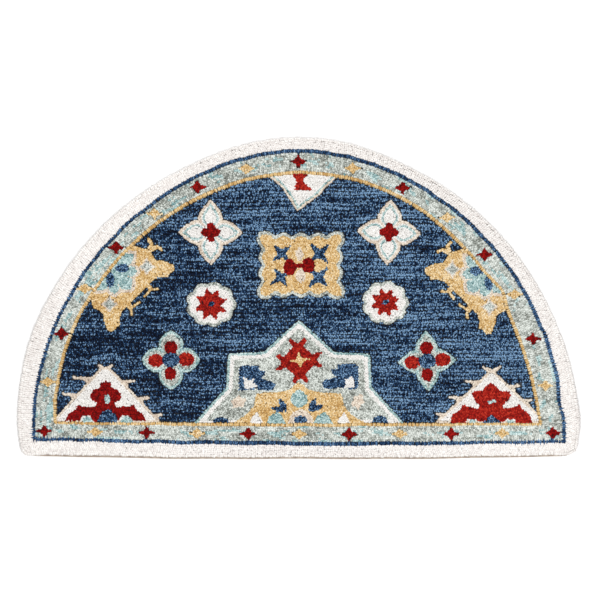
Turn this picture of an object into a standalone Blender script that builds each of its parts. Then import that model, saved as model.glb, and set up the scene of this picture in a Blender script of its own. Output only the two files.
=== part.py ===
"""Half-round hearth rug, hand-tufted in wool.

The rug is one flat body: short upright pile on a stiff backing, cut to an arch and turned
under all round, so there is no binding, lining or fringe to sew on.  It lies on its backing.

Frame: +X runs along the flat edge, +Y points from the flat edge to the top of the arch, +Z is
up out of the pile.  The origin is on the floor, at the middle of the rug's width and depth.
All sizes are in metres.
"""

import math

import bmesh
import bpy

# Driving sizes
WIDTH = 1.067               # across the widest place, a little above the flat edge
DEPTH = 0.610               # from the lowest place of the flat edge to the top of the arch
THICKNESS = 0.012           # backing and pile together
PILE_ROLL = 0.0075          # radius at which the outermost tufts lean out and down
PILE_ROLL_STEPS = 4

# The arch is a superellipse, slightly more pointed at the shoulders than a true half circle
SHOULDER_HEIGHT = 0.079     # the widest place, above the flat edge
ARCH_EXPONENT = 1.85
ARCH_STEPS = 168

# Below the shoulders the sides come in a little, to two corners rounded by hand
SIDE_TUCK = 0.006
SIDE_STEPS = 5
LEFT_CORNER_RADIUS = 0.018
RIGHT_CORNER_RADIUS = 0.026
CORNER_STEPS = 7

# The flat edge bows down towards its middle
EDGE_BOW = 0.0055
EDGE_STEPS = 40

# Hand-cut unevenness: half waves along the stretch, and how far the edge strays.  The even
# terms make the left flank fuller than the right one.
ARCH_WANDER = (
    {"half_waves": 2, "stray": -0.0030},
    {"half_waves": 4, "stray": -0.0020},
    {"half_waves": 6, "stray": -0.0010},
    {"half_waves": 7, "stray": -0.0010},
    {"half_waves": 8, "stray": -0.0005},
    {"half_waves": 13, "stray": -0.0006},
    {"half_waves": 17, "stray": -0.0004},
)
EDGE_WANDER = (
    {"half_waves": 5, "stray": 0.0006},
    {"half_waves": 13, "stray": 0.0004},
)

WELD_DISTANCE = 0.00001

WOOL_COLOUR = (0.82, 0.79, 0.75, 1.0)
WOOL_ROUGHNESS = 0.95
WOOL_METALLIC = 0.0


def remove_old_objects():
    """Empty the scene."""
    for old in list(bpy.data.objects):
        bpy.data.objects.remove(old, do_unlink=True)


def wander(terms, share):
    """Return how far a hand-cut edge strays at a share (0 to 1) of its stretch."""
    return sum(term["stray"] * math.sin(term["half_waves"] * math.pi * share) for term in terms)


def signed_power(value, exponent):
    """Raise the size of a value to a power and keep its sign."""
    return math.copysign(abs(value) ** exponent, value)


def arch_points():
    """Return the arch, from the right shoulder over the top to the left one."""
    reach_across = WIDTH / 2
    reach_up = DEPTH - SHOULDER_HEIGHT
    points = []
    for step in range(ARCH_STEPS + 1):
        share = step / ARCH_STEPS
        turn = math.pi * share
        stray = wander(ARCH_WANDER, share)
        across = signed_power(math.cos(turn), 2 / ARCH_EXPONENT)
        up = signed_power(math.sin(turn), 2 / ARCH_EXPONENT)
        points.append((
            (reach_across + stray) * across,
            SHOULDER_HEIGHT + (reach_up + stray) * up,
        ))
    return points


def flat_edge_height(x):
    """Return the flat edge's height at x: lowest in the middle, higher at the corners."""
    share = x / WIDTH + 0.5
    return EDGE_BOW * (2 * x / WIDTH) ** 2 + wander(EDGE_WANDER, share)


def corner_centre(side, radius):
    """Return the centre of the round corner on one side, -1 for left and +1 for right."""
    x = side * (WIDTH / 2 - SIDE_TUCK - radius)
    return x, flat_edge_height(x) + radius


def side_points(side, radius):
    """Return the stretch from one shoulder down to its corner, without its two ends."""
    bottom = corner_centre(side, radius)[1]
    points = []
    for step in range(1, SIDE_STEPS):
        share = step / SIDE_STEPS
        x = side * (WIDTH / 2 - SIDE_TUCK * share ** 2)
        points.append((x, SHOULDER_HEIGHT + (bottom - SHOULDER_HEIGHT) * share))
    return points


def corner_points(side, radius):
    """Return a round corner, from its side to the flat edge."""
    x, y = corner_centre(side, radius)
    points = []
    for step in range(CORNER_STEPS + 1):
        turn = math.pi / 2 * step / CORNER_STEPS
        points.append((x + side * radius * math.cos(turn), y - radius * math.sin(turn)))
    return points


def flat_edge_points():
    """Return the flat edge between the two corners, from left to right, without its ends."""
    start = corner_centre(-1, LEFT_CORNER_RADIUS)[0]
    end = corner_centre(+1, RIGHT_CORNER_RADIUS)[0]
    points = []
    for step in range(1, EDGE_STEPS):
        x = start + (end - start) * step / EDGE_STEPS
        points.append((x, flat_edge_height(x)))
    return points


def rug_outline():
    """Return the whole outline, turning to the left, centred on the origin."""
    points = arch_points()
    points += side_points(-1, LEFT_CORNER_RADIUS)
    points += corner_points(-1, LEFT_CORNER_RADIUS)
    points += flat_edge_points()
    points += reversed(corner_points(+1, RIGHT_CORNER_RADIUS))
    points += reversed(side_points(+1, RIGHT_CORNER_RADIUS))
    middle_x = (min(x for x, _ in points) + max(x for x, _ in points)) / 2
    middle_y = (min(y for _, y in points) + max(y for _, y in points)) / 2
    return [(x - middle_x, y - middle_y) for x, y in points]


def wool_material():
    """Return the material of undyed wool pile."""
    material = bpy.data.materials.new("wool_pile")
    material.use_nodes = True
    material.diffuse_color = WOOL_COLOUR
    shader = material.node_tree.nodes["Principled BSDF"]
    shader.inputs["Base Color"].default_value = WOOL_COLOUR
    shader.inputs["Roughness"].default_value = WOOL_ROUGHNESS
    shader.inputs["Metallic"].default_value = WOOL_METALLIC
    return material


def slab_from_outline(name, points, thickness):
    """Return a flat mesh object of an outline, standing on the floor."""
    curve = bpy.data.curves.new(name + "_outline", "CURVE")
    curve.dimensions = "2D"
    curve.fill_mode = "BOTH"
    curve.extrude = thickness / 2
    spline = curve.splines.new("POLY")
    spline.points.add(len(points) - 1)
    for point, (x, y) in zip(spline.points, points):
        point.co = (x, y, 0, 1)
    spline.use_cyclic_u = True
    outline = bpy.data.objects.new(name + "_outline", curve)
    bpy.context.scene.collection.objects.link(outline)

    evaluated = outline.evaluated_get(bpy.context.evaluated_depsgraph_get())
    mesh = bpy.data.meshes.new_from_object(evaluated)
    mesh.name = name
    bpy.data.objects.remove(outline, do_unlink=True)
    bpy.data.curves.remove(curve)
    weld(mesh)

    slab = bpy.data.objects.new(name, mesh)
    slab.location.z = thickness / 2
    return slab


def weld(mesh):
    """Join the two caps of a mesh to its walls, and make each cap a single face."""
    work = bmesh.new()
    work.from_mesh(mesh)
    bmesh.ops.remove_doubles(work, verts=work.verts, dist=WELD_DISTANCE)
    work.normal_update()
    caps = [face for face in work.faces if abs(face.normal.z) > 0.5]
    bmesh.ops.dissolve_faces(work, faces=caps)
    work.to_mesh(mesh)
    work.free()


def roll_over_top_rim(slab, radius, segments):
    """Round the pile's upper rim, and leave the backing's lower rim square."""
    mesh = slab.data
    weights = mesh.attributes.new("bevel_weight_edge", "FLOAT", "EDGE")
    for edge in mesh.edges:
        on_top = all(mesh.vertices[index].co.z > 0 for index in edge.vertices)
        weights.data[edge.index].value = 1.0 if on_top else 0.0
    bevel = slab.modifiers.new("pile_roll", "BEVEL")
    bevel.limit_method = "WEIGHT"
    bevel.width = radius
    bevel.segments = segments
    bevel.use_clamp_overlap = False


def build_rug():
    """Make the rug in a collection of its own."""
    collection = bpy.data.collections.new("half_round_rug")
    bpy.context.scene.collection.children.link(collection)
    rug = slab_from_outline("rug", rug_outline(), THICKNESS)
    rug.data.materials.append(wool_material())
    roll_over_top_rim(rug, PILE_ROLL, PILE_ROLL_STEPS)
    rug.data.shade_smooth()
    rug.data.set_sharp_from_angle(angle=math.radians(35))
    collection.objects.link(rug)
    return rug


remove_old_objects()
build_rug()
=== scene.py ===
# %% [markdown]
# # A half-round hearth rug, hand-tufted in wool
#
# The rug is one flat piece: a ground cloth, and thousands of short wool tufts shot through it
# row by row with a tufting gun.  This script dresses the plain solid of the rug in three steps.
# It draws the pattern as a maker's chart, works out a place for every stitch, and lets Geometry
# Nodes stand a small tuft of yarn on each.  Sizes on the chart are in millimetres, because a
# maker measures a rug that way; Blender gets metres.

# %% Load the frame
import math

import bmesh
import bpy
import numpy as np
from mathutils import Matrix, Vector


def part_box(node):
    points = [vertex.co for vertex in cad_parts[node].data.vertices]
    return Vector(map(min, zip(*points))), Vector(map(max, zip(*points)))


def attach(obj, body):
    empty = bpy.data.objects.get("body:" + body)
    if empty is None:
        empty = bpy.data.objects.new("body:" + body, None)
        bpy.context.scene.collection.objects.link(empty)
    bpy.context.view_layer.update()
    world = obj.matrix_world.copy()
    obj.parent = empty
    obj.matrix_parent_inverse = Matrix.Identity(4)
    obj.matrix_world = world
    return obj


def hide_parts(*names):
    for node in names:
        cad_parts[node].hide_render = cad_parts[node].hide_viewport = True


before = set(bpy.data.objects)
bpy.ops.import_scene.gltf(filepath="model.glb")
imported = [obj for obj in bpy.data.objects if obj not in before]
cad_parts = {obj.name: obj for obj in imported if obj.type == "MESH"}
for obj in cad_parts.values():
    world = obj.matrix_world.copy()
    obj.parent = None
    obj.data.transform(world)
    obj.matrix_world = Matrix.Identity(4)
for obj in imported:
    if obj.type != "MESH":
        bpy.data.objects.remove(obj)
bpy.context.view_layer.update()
low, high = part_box("rug")
MM = 0.001
print("rug solid", [round(side, 4) for side in high - low])

# %% [markdown]
# ## Drawing tools for the chart
#
# Every motif on the rug is built up from a few kinds of shape: pointed leaves, ovals, stars,
# scalloped ovals, thick strokes and small polygons.  Each helper returns the corner points of
# one closed shape, so a motif is only a list of shapes with a yarn each.  Drawing them by rule
# keeps the motifs crisp at any size and easy to change.

# %% Leaves and ovals


def turned(points, angle=0.0, move=(0, 0)):
    """Turn points by an angle in degrees, then move them."""
    turn = math.radians(angle)
    rows = [[math.cos(turn), math.sin(turn)], [-math.sin(turn), math.cos(turn)]]
    return np.asarray(points, float) @ np.array(rows) + np.array(move, float)


def leaf(length, width, angle=0.0, start=(0, 0), belly=0.5, point=0.85, steps=9):
    """A leaf with two pointed ends; belly is where along it the leaf is widest."""
    share = np.linspace(0, 1, steps + 1)
    bend = math.log(0.5) / math.log(belly)
    half = width / 2 * np.sin(math.pi * share ** bend).clip(0) ** point
    along = np.concatenate([share, share[-2:0:-1]]) * length
    across = np.concatenate([half, -half[-2:0:-1]])
    return turned(np.column_stack([along, across]), angle, start)


def oval(wide, tall, centre=(0, 0), angle=0.0):
    """An oval, from its half sizes."""
    t = np.linspace(0, 2 * math.pi, 20, endpoint=False)
    return turned(np.column_stack([wide * np.cos(t), tall * np.sin(t)]), angle, centre)


print("corners of a leaf", len(leaf(60, 40)), "and of an oval", len(oval(20, 10)))

# %% Stars and scallops


def star(points, outer, inner, angle=0.0, centre=(0, 0), squash=1.0, blunt=0.5):
    """A star, from the radii of its tips and its notches; each tip is cut flat, and blunt is half
    the angle that the flat takes up."""
    step = 180 / points
    t = np.radians([turn + 2 * step * tip for tip in range(points) for turn in (-blunt, blunt, step)])
    radius = np.tile([outer, outer, inner], points)
    corners = np.column_stack([radius * np.cos(t), squash * radius * np.sin(t)])
    return turned(corners, angle, centre)


def scalloped_oval(wide, tall, lobes, depth):
    """An oval whose edge is a ring of round lobes."""
    t = np.linspace(0, 2 * math.pi, lobes * 6, endpoint=False)
    bump = 1 - depth + depth * np.abs(np.cos(lobes * t / 2))
    return np.column_stack([wide * bump * np.cos(t), tall * bump * np.sin(t)])


print("corners of a star", len(star(8, 30, 20)), "and of nine lobes", len(scalloped_oval(48, 42, 9, 0.1)))

# %% Polygons and strokes


def polygon(*corners):
    """A closed shape with straight sides."""
    return np.array(corners, float)


def stroke(*places, width=4.0, end_width=None):
    """A thick line through some places, tapering to end_width."""
    line = np.asarray(places, float)
    half = np.linspace(width, width if end_width is None else end_width, len(line)) / 2
    run = np.gradient(line, axis=0)
    run /= np.linalg.norm(run, axis=1)[:, None]
    side = np.column_stack([-run[:, 1], run[:, 0]]) * half[:, None]
    return np.concatenate([line + side, (line - side)[::-1]])


def mirrored(shapes):
    """The same shapes, left for right."""
    return [shape * np.array([-1, 1]) for shape in shapes]


print("corners of a bent stroke", len(stroke((0, 0), (10, 0), (20, 5))))

# %% [markdown]
# ## Distances
#
# To know which yarn a stitch takes, the script asks how far the stitch lies inside each shape.
# The signed distance to a closed shape answers that, and it also gives bands for free: a band
# that follows a motif's edge is simply where the distance is between two values.

# %% Signed distance
NEAR, FAR_OFF = 14.0, 1e6


def shape_distance(points, corners):
    """How far each point is from a shape's edge: negative inside, positive outside."""
    nearest = np.full(len(points), np.inf)
    inside = np.zeros(len(points), bool)
    px, py = points[:, 0], points[:, 1]
    for (ax, ay), (bx, by) in zip(corners, np.roll(corners, -1, axis=0)):
        ex, ey = bx - ax, by - ay
        length = max(ex * ex + ey * ey, 1e-12)
        share = (((px - ax) * ex + (py - ay) * ey) / length).clip(0, 1)
        nearest = np.minimum(nearest, (px - ax - ex * share) ** 2 + (py - ay - ey * share) ** 2)
        if ey:
            inside ^= ((ay <= py) != (by <= py)) & (px < ax + (py - ay) * ex / ey)
    distance = np.sqrt(nearest)
    return np.where(inside, -distance, distance)


def union_distance(points, shapes):
    """The distance to several shapes taken as one; where none is near, it is only large."""
    joined = np.full(len(points), FAR_OFF)
    for shape in shapes:
        near = (points > shape.min(0) - NEAR).all(1) & (points < shape.max(0) + NEAR).all(1)
        if near.any():
            joined[near] = np.minimum(joined[near], shape_distance(points[near], shape))
    return joined


print("the middle of a 40 by 20 oval", shape_distance(np.zeros((1, 2)), oval(20, 10)).round(1))

# %% [markdown]
# ## Uneven by hand
#
# A tufting gun is steered by hand, so rows wander and the yarn's shade drifts in streaks, which
# rug makers call abrash.  One smooth noise serves for both.  It interpolates a lattice of
# seeded random values, so every run gives the same rug.

# %% Drift


def drift(x, y, reach_x, reach_y, seed):
    """Smooth noise from -1 to 1, with blots reach_x wide and reach_y tall in millimetres."""
    lattice = np.random.default_rng(seed).uniform(-1, 1, (128, 128))
    u, v = np.asarray(x) / reach_x + 64, np.asarray(y) / reach_y + 64
    i, j = np.floor(u).astype(int), np.floor(v).astype(int)
    s, t = u - i, v - j
    s, t = s * s * (3 - 2 * s), t * t * (3 - 2 * t)
    i, j = i % 127, j % 127
    low_row = lattice[i, j] * (1 - s) + lattice[i + 1, j] * s
    high_row = lattice[i, j + 1] * (1 - s) + lattice[i + 1, j + 1] * s
    return low_row * (1 - t) + high_row * t


print("drift at steps of 20 mm", drift(np.arange(0, 100, 20), 0, 30, 30, 1).round(2))

# %% [markdown]
# ## The bands round the edge
#
# A cream border, a single navy row, a sage band and a single gold row run right round the rug.
# Each is bounded by a loop of two stretches, the arch with its sides and the flat edge, that
# meet at the two bottom corners.  The outermost loop is read from the solid itself, so that the
# pile can't drift from it.  The inner two are superellipses like the rug's own arch.

# %% Loops of points
ARCH_SAMPLES, EDGE_SAMPLES = 900, 520


def even_run(line, count):
    """Points evenly spaced along a line."""
    step = np.linalg.norm(np.diff(line, axis=0), axis=1)
    walked = np.concatenate([[0], np.cumsum(step)])
    wanted = np.linspace(0, walked[-1], count)
    return np.column_stack([np.interp(wanted, walked, line[:, axis]) for axis in (0, 1)])


def loop_from(arch, edge):
    """A loop of an arch, right corner to left corner, and a flat edge, left to right."""
    return {"arch": even_run(arch, ARCH_SAMPLES), "edge": even_run(edge, EDGE_SAMPLES)}


def whole(loop):
    """A loop as one closed shape; every fourth point is enough for a distance."""
    return np.concatenate([loop["arch"][:-1], loop["edge"][:-1]])[::4]


print("a line 50 long in two even steps", even_run(np.array([(0, 0), (30, 40)]), 3).tolist())

# %% The solid's outline
ON_FLOOR = 0.05  # the solid's points below this height lie on the floor
RUG_MIDDLE = np.array([0, -90.0])


def outline_loop(node):
    """The solid's outline on the floor, as a loop."""
    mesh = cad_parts[node].data
    places = np.array([vertex.co for vertex in mesh.vertices]) / MM
    rim = np.unique(places[places[:, 2] < ON_FLOOR].round(3), axis=0)[:, :2]
    angle = np.arctan2(*(rim - RUG_MIDDLE).T[::-1])
    rim = rim[np.argsort(angle)]
    rim = rim[np.linalg.norm(rim - np.roll(rim, 1, axis=0), axis=1) > ON_FLOOR]
    rim = np.roll(rim, -np.argmax(rim[:, 0] - rim[:, 1]), axis=0)
    left = np.argmin(rim[:, 0] + rim[:, 1])
    return loop_from(rim[:left + 1], np.concatenate([rim[left:], rim[:1]]))


rug_loop = outline_loop("rug")
print("rug loop", [len(run) for run in rug_loop.values()], "arch top", rug_loop["arch"][:, 1].max())

# %% Loops drawn by rule


def half_loop(reach, shoulder, exponent, corner, arch_top):
    """One side of an arch as a superellipse, from its bottom corner up to the top."""
    turn = np.linspace(0, math.pi / 2, 120)
    x = reach * np.cos(turn).clip(0) ** (2 / exponent)
    y = shoulder + (arch_top - shoulder) * np.sin(turn) ** (2 / exponent)
    return np.vstack([[corner], np.column_stack([x, y])[y > corner[1] + 4]])


def inner_loop(right, left, arch_top, bow):
    """A loop from its two sides, each a reach, shoulder, exponent and corner."""
    right_side = half_loop(*right, arch_top)
    left_side = half_loop(*left, arch_top) * (-1, 1)
    share = np.linspace(0, 1, 60)[:, None]
    edge = left_side[0] * (1 - share) + right_side[0] * share
    edge[:, 1] -= bow * np.sin(math.pi * share[:, 0])
    return loop_from(np.vstack([right_side, left_side[-2::-1]]), edge)


def between(outer, inner, share):
    """The loop that lies a share of the way from one loop to another."""
    return {run: outer[run] * (1 - share) + inner[run] * share for run in outer}


print("points up one side", len(half_loop(500, -230, 1.9, (500, -268), 280)))

# %% Loops led by hand


def wandering(loop, amount, seed):
    """The same loop, led astray a little by the hand that steered the gun."""
    return {run: line + amount * np.column_stack([drift(*line.T, 24, 24, own)
                                                  for own in (seed, seed + 1)])
            for run, line in loop.items()}


def led_round(loop, place, reach, amount):
    """The same loop, with its arch led outward past a place."""
    arch = loop["arch"]
    outward = arch - (0, -60)
    outward /= np.linalg.norm(outward, axis=1)[:, None]
    push = amount * np.exp(-(np.linalg.norm(arch - place, axis=1) / reach) ** 2)
    return loop_from(arch + outward * push[:, None], loop["edge"])


def eased(count):
    """A share that is one along most of a run and eases to nought at its two ends."""
    return (9 * np.sin(np.linspace(0, math.pi, count))).clip(0, 1)


print("eased over 30 steps", eased(31).round(1)[:4], "at one end")

# %% [markdown]
# ## The rug's own loops
#
# No hand leads the gun quite true.  The navy line swells out and in at the right flank, the gold
# line bows out round the right palmette, and both wander a little everywhere.  Along the flat
# edge the pile stands in by the width of the cloth's glued fold, which shows there as a darker
# strip of painted shade.

# %% The rug's loops
FOLD_SHOWS = 3.4
navy_loop = inner_loop((495.5, -231.0, 1.88, (503.0, -268.5)),
                       (500.0, -226.0, 1.86, (500.5, -263.5)), 280.0, 6.5)
navy_loop = wandering(navy_loop, 1.3, 51)
navy_loop = led_round(led_round(navy_loop, (500, -230), 22, 5), (495, -192), 22, -4)
gold_loop = inner_loop((462.0, -330.0, 2.06, (457.0, -237.0)),
                       (461.0, -205.0, 1.86, (461.5, -235.0)), 239.5, 1.5)
gold_loop = led_round(wandering(gold_loop, 1.0, 53), (380, 22), 32, 11)
rim_loop = between(rug_loop, navy_loop, 0.10)
rim_loop["edge"] = rim_loop["edge"] + FOLD_SHOWS * np.outer(eased(EDGE_SAMPLES), (0, 1))
print("arch tops", [loop["arch"][:, 1].max().round(1) for loop in (rim_loop, navy_loop, gold_loop)])

# %% [markdown]
# ## Motifs of the field
#
# The field holds the motifs of a traditional village carpet: pointed quatrefoils, rosettes, a
# scalloped centre box, a half medallion on the flat edge, tent shapes in the corners and a
# palmette on each flank.  A motif is a list of groups.  A group is some shapes taken as one,
# in one yarn, or with bands of yarn that follow their edge, each given by how far inside the
# edge it starts.

# %% Quatrefoils
chart = []


def put(name, centre, groups, angle=0.0, flip=False, zone="field"):
    """Add a motif's groups to the chart, turned by an angle, at a place on the rug."""
    for shapes, bands in groups:
        bands = [(0, bands)] if isinstance(bands, str) else bands
        shapes = [turned(shape, angle) for shape in shapes]
        shapes = mirrored(shapes) if flip else shapes
        shapes = [shape + np.array(centre, float) for shape in shapes]
        chart.append({"name": name, "shapes": shapes, "bands": bands, "zone": zone})


def four_leaves(tall, wide, across, belly, point, heart):
    """Four leaves about a round heart, with their own length up and down and to the sides."""
    leaves = [leaf(length, across, angle, belly=belly, point=point, steps=12)
              for length, angle in ((tall, 90), (wide, 0), (tall, 270), (wide, 180))]
    return leaves + [oval(heart, heart)]


white_quatrefoil = [
    (four_leaves(62, 61, 46, 0.42, 1.0, 18), [(0, "beige"), (4.8, "white")]),
    ([leaf(45, 31, angle, start, 0.42, 1.0) for angle, start in
      ((90, (0, 8)), (0, (8, 0)), (270, (0, -8)), (180, (-8, 0)))], [(0, "sky"), (3.9, "white")]),
    ([oval(8, 9.5, (0, 9)), oval(8, 9.5, (0, -9)), oval(9.5, 8, (9, 0)), oval(9.5, 8, (-9, 0)),
      oval(11, 11)], "red"),
]
put("quatrefoil", (-167, 126), white_quatrefoil)
put("quatrefoil", (170, 126), white_quatrefoil, angle=-3)
print("groups on the chart", len(chart))

# %% Rosettes

def rosette(wide, tall, reach):
    """A scalloped white rosette about a scarlet star of some reach, with a navy heart."""
    return [
        ([scalloped_oval(wide, tall, 9, 0.11)], [(0, "sage"), (4.8, "white")]),
        ([star(8, reach, reach * 0.65, 18, blunt=3.5)], "scarlet"),
        ([oval(7, 4.5, (1, 1), 30)], "navy"),
    ]


put("left rosette", (-166, -10), rosette(47.5, 42.5, 30))
put("right rosette", (163, -7), rosette(44.5, 41.5, 27))
print("groups on the chart", len(chart))

# %% Blue flowers

def blue_flower(leaves):
    """Sage leaves with a sky-blue edge, four red buds and a navy heart."""
    return [
        (leaves, [(0, "sky"), (4.4, "sage")]),
        ([oval(12.5, 13, (0, 24)), oval(11.5, 12.5, (-1, -26))], "red"),
        ([oval(15.5, 13, (29, 1)), oval(15, 12.5, (-28, -1))], "scarlet"),
        ([oval(17, 14)], "navy"),
    ]


put("left flower", (-242, -115), blue_flower(four_leaves(56, 55, 46, 0.52, 0.78, 24)))
put("right flower", (242, -117), blue_flower(four_leaves(58, 56, 43, 0.38, 1.05, 22)), angle=3)
print("groups on the chart", len(chart))

# %% [markdown]
# ## Top tent and centre box
#
# A white tent with a scarlet vase hangs from the top of the arch, cut off by the gold line.
# Under it lies a gold box with scalloped sides, four navy stars and a red knot.  Its scallops
# come from one wave, so their number and depth are easy to change.

# %% Top tent
top_tent = [
    ([polygon((-72, 10), (-46, -7), (-30, -22), (-16, -44), (-3, -65), (14, -51), (38, -34),
              (50, -20), (78, 6), (60, 20), (-50, 20))],
     [(0, "beige"), (4.2, "sky"), (7.4, "white")]),
    ([polygon((-13, 14), (21, 16), (20, 6), (9, -2), (8, -8), (15, -15), (26, -25), (2, -24),
              (-9, -24), (-6, -14), (-4, -6), (-12, 2))], "scarlet"),
]
put("top tent", (0, 230), top_tent)
print("groups on the chart", len(chart))

# %% Centre box

def scalloped_box(half_wide, half_tall, lobes_across, lobes_up, depth, ear):
    """A rectangle with scalloped sides and corners pulled out like ears."""
    edge = []
    corners = np.array([(-1, -1), (1, -1), (1, 1), (-1, 1)]) * (half_wide, half_tall)
    outward = np.array([(0, -1), (1, 0), (0, 1), (-1, 0)])
    for side in range(4):
        start, end = corners[side], corners[(side + 1) % 4]
        lobes = lobes_up if side % 2 else lobes_across
        for share in np.linspace(0, 1, lobes * 6, endpoint=False):
            wave = abs(math.sin(math.pi * lobes * share)) * depth
            lift = ear * (2 * share - 1) ** 4
            edge.append(start + (end - start) * share + outward[side] * (wave + lift - depth))
    return np.array(edge)


centre_box = [
    ([scalloped_box(80, 61, 5, 4, 7.5, 7)], [(0, "sage"), (5.4, "gold")]),
    ([leaf(27, 16, 90, (-3, 7)), leaf(30, 19, 270, (-1, -5))], "beige"),
    ([star(4, 23, 8.5, 42, (-36, 22), 0.9, 4), star(4, 25, 9, 42, (35, 22), 0.95, 4),
      star(4, 24, 8.5, 35, (-38, -23), 0.85, 4), star(4, 26, 9, 45, (33, -23), 0.95, 4)],
     "navy"),
    ([oval(12, 16, (-21, -4)), oval(12.5, 14.5, (14, 0)),
      polygon((-12, 3), (8, 4), (8, -5), (-12, -6))], "red"),
]
put("centre box", (3.6, 64), centre_box)
print("groups on the chart", len(chart))

# %% [markdown]
# ## Corner tents
#
# Each bottom corner holds a white tent with a thorny beige edge and a red crest, half of a flower
# that the flat edge cuts.  Both tents come from one helper, with sizes of their own, because the
# two sides of a hand-made rug never quite match.

# %% Thorny tents
FIELD_FOOT = -234.0


def tent(foot_left, foot_right, apex, neck, prong, left_thorns, right_thorns):
    """A triangle on the flat edge, with a forked tip and flat-topped thorns up its sides."""
    apex = np.array(apex, float)
    body = polygon((foot_left, FIELD_FOOT), apex - (neck, 0), apex + (neck, 0),
                   (foot_right, FIELD_FOOT))
    extras = [stroke(apex - (0, 5), apex + (side * prong, 5), width=9, end_width=4)
              for side in (-1, 1)]
    for foot, side, thorns in ((foot_left, -1, left_thorns), (foot_right, 1, right_thorns)):
        for height, reach in thorns:
            slope = (apex[0] + side * neck - foot) / (apex[1] - FIELD_FOOT)
            x = foot + slope * (height - FIELD_FOOT)
            extras.append(polygon((x + side * reach, height + 3), (x - side * 6, height + 1),
                                  (x - slope * 13 - side * 5, height - 13),
                                  (x - slope * 9 + side * 2, height - 10),
                                  (x + side * reach * 0.4, height - 4),
                                  (x + side * reach, height - 1)))
    return body, extras


print("corners of a tent without thorns", len(tent(-50, 50, (0, -140), 5, 15, [], [])[0]))

# %% Crests


def both_sides(right_side):
    """A shape that is the same left and right, from its right side, top to bottom."""
    return np.array(right_side + [(-x, y) for x, y in reversed(right_side) if x > 0], float)


def crest(head, wing, hollow, middle, foot=4):
    """A crest: a head that stands on two spread wings, over two hollows of some height."""
    half = both_sides(head + [
        (wing * 0.56, 31), (wing * 0.68, 35), (wing * 0.75, 24), (wing * 0.90, 17), (wing, foot),
        (wing * 0.62, foot), (wing * 0.56, hollow), (wing * 0.38, hollow), (wing * 0.28, 2)])
    return half + (middle, FIELD_FOOT)


lobed_head = [(0, 79), (9, 76), (12, 66), (21, 64), (30, 54), (27, 43), (17, 38), (19, 30)]
pointed_head = [(0, 77), (9, 70), (16, 61), (35, 60), (36, 52), (30, 41), (22, 33), (24, 27)]
print("corners of a crest", len(crest(lobed_head, 78, 14, 0)))

# %% Left and right tent
body, extras = tent(-468, -260, (-366, -129), 8, 15, [(-149, 36), (-180, 27)],
                    [(-155, 25), (-187, 22), (-219, 16)])
put("left tent", (0, 0), [
    ([body] + extras, "beige"),
    ([body], [(4.2, "white")]),
    ([crest(lobed_head, 78, 14, -365)], "red"),
    ([oval(5.5, 9.5, (-362, -189))], "sky"),
    ([leaf(50, 39, 90, (-361, -257), 0.5, 0.8)], "navy"),
    ([oval(12, 16, (-400, -237)), oval(13, 16, (-325, -237))], "sky"),
])

body, extras = tent(257, 470, (364, -133), 1, 17, [(-156, 26), (-186, 24), (-218, 15)],
                    [(-164, 22), (-191, 15)])
put("right tent", (0, 0), [
    ([body] + extras, "beige"),
    ([body], [(4.2, "white")]),
    ([crest(pointed_head, 80, 7, 363, foot=-3)], "scarlet"),
    ([stroke((357, -197), (371, -191), width=6)], "sky"),
    ([leaf(40, 40, 90, (364, -258), 0.5, 1.3)], "navy"),
    ([oval(8, 10, (328, -237)), oval(8, 10, (400, -237))], "sky"),
])
print("groups on the chart", len(chart))

# %% [markdown]
# ## Half medallion
#
# The medallion is the rug's main figure: a stepped sage shape that stands on the flat edge, with
# a forked scarlet diamond at its head and a gold half flower at its foot.  What is the same left
# and right is drawn once and mirrored; leaves and buds are put down one by one.

# %% Parts of the medallion


def forked_diamond(body, waist, fork, spread, notch):
    """A diamond whose four corners each end in two blunt prongs."""
    corner = [(body, -waist), (fork - 7, -spread), (fork, -spread + 3), (notch, 0),
              (fork, spread - 3), (fork - 7, spread), (body, waist)]
    return np.concatenate([turned(corner, 90 * quarter) for quarter in range(4)])


leaf_block = polygon((-34, 20), (-28, 24), (4, 23), (6, 15), (17, 12), (16, 5), (8, -1), (28, -6),
                     (36, -13), (32, -22), (20, -25), (0, -21), (-28, -25), (-34, -21))
crown = polygon((-13, 10), (-3, 4), (7, 8), (4, 0), (13, -6), (3, -11), (-11, -12))
foot_arch = polygon((-23, -8), (-20, 6), (-9, 17), (3, 21), (14, 16), (23, 6), (26, -8))
small_tent = polygon((-15, -6), (-8, 9), (0, 17), (7, 9), (14, -6))
half_dome = polygon((-19, -6), (-15, 8), (-5, 13), (2, 17), (8, 10), (18, -6))
print("corners of a forked diamond", len(forked_diamond(27, 10, 44, 15.5, 33)))

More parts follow.
